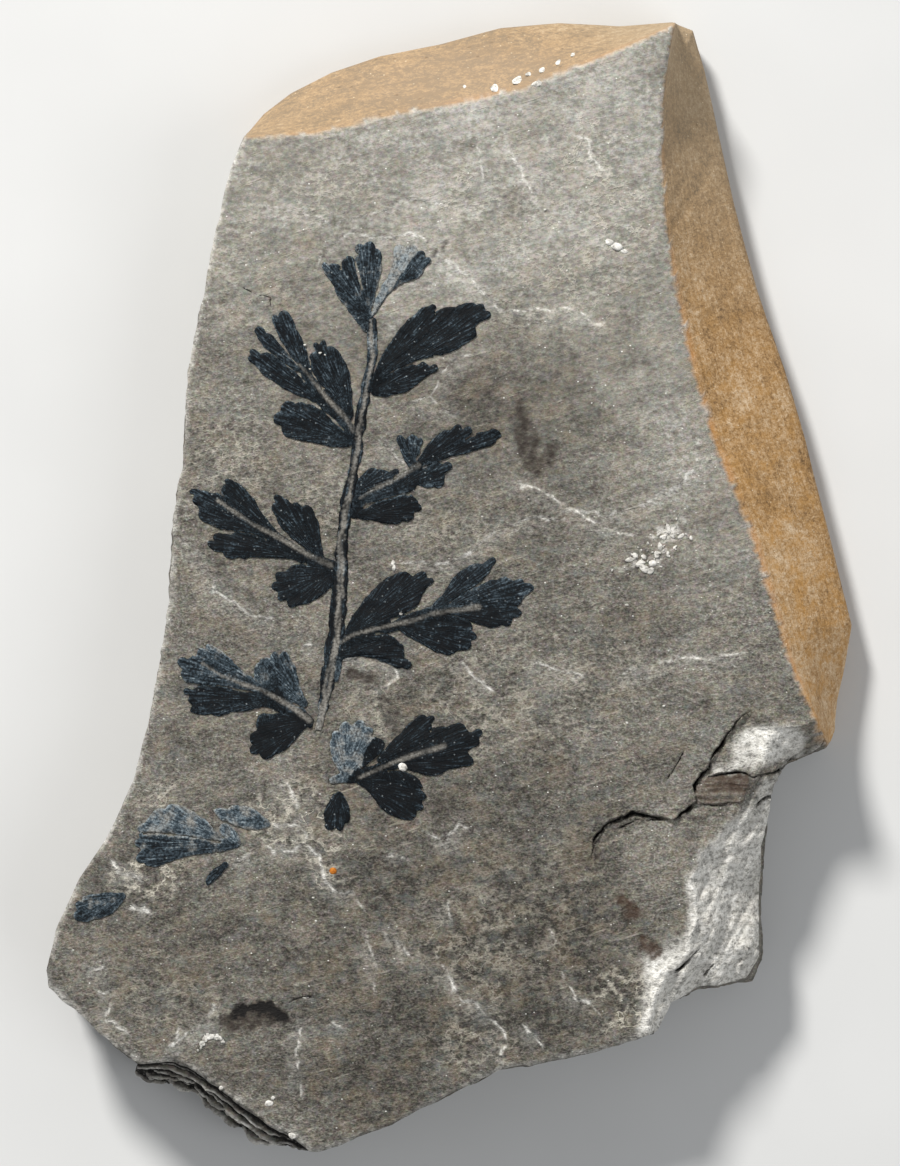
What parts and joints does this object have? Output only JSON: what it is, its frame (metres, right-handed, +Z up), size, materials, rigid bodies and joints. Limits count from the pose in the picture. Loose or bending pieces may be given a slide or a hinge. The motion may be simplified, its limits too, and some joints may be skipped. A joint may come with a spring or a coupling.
{
  "type": "fossil fern plate",
  "caption": "Flat broken hand-sized plate of shale with the black carbon film of a lobed fern frond on its upper bedding face.",
  "frame": {"origin": "centre of the plan outline's box, on the plane of the flat underside", "axes": "+X to the right and +Y towards the frond's tip, both in the bedding plane; +Z up out of the fossil face"},
  "size_m": [0.0815, 0.1144, 0.0144],
  "materials": {
    "shale": "fine-grained matt grey-brown shale, orange-brown iron-stained joint faces along two sides",
    "carbon_film": "thin black coaly film with a dull grey-blue sheen"
  },
  "bodies": {
    "root": {"shale_plate": "shale", "main_stem": "carbon_film", "tip_leaf": "carbon_film", "left_leaf_1": "carbon_film", "right_leaf_1": "carbon_film", "left_leaf_2": "carbon_film", "right_leaf_2": "carbon_film", "left_leaf_3": "carbon_film", "right_leaf_3": "carbon_film", "left_leaf_4": "carbon_film", "right_leaf_4": "carbon_film", "left_leaf_5": "carbon_film", "right_leaf_5": "carbon_film", "leaf_scrap": "carbon_film", "stem_scrap": "carbon_film"}
  },
  "joints": []
}
